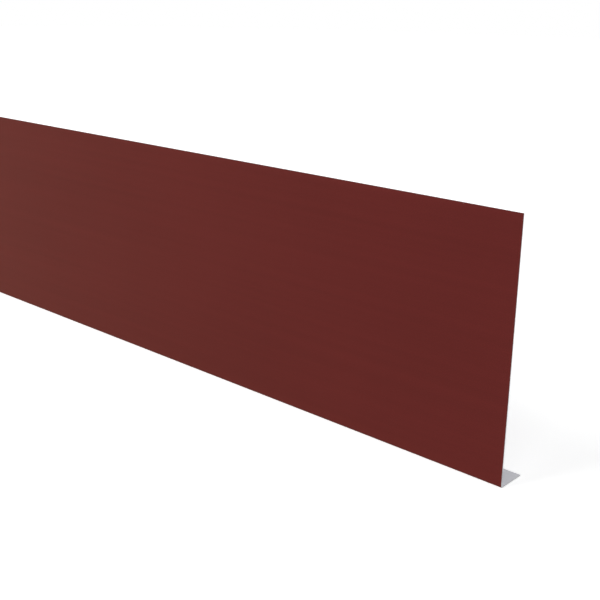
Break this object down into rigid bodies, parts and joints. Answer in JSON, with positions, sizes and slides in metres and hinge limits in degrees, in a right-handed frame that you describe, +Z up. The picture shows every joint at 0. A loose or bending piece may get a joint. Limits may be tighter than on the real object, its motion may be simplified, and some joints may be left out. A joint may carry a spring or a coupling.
{
  "type": "verge flashing",
  "caption": "Folded sheet metal verge flashing: a tall flat face that covers a barge board, with a short flange turned back under the board's lower edge.",
  "frame": {"origin": "on the back of the tall face, which is fixed to the barge board, at mid-length and half the face's height", "axes": "+X along the verge, +Y from the coated face into the barge board, +Z up the face, away from the flange"},
  "size_m": [2, 0.02, 0.15],
  "materials": {
    "coated_sheet": "matt oxide red polyester coat on the outside, pale grey backing coat on the inside, bare cut edges"
  },
  "bodies": {
    "root": {"verge_flashing": "coated_sheet"}
  },
  "joints": []
}
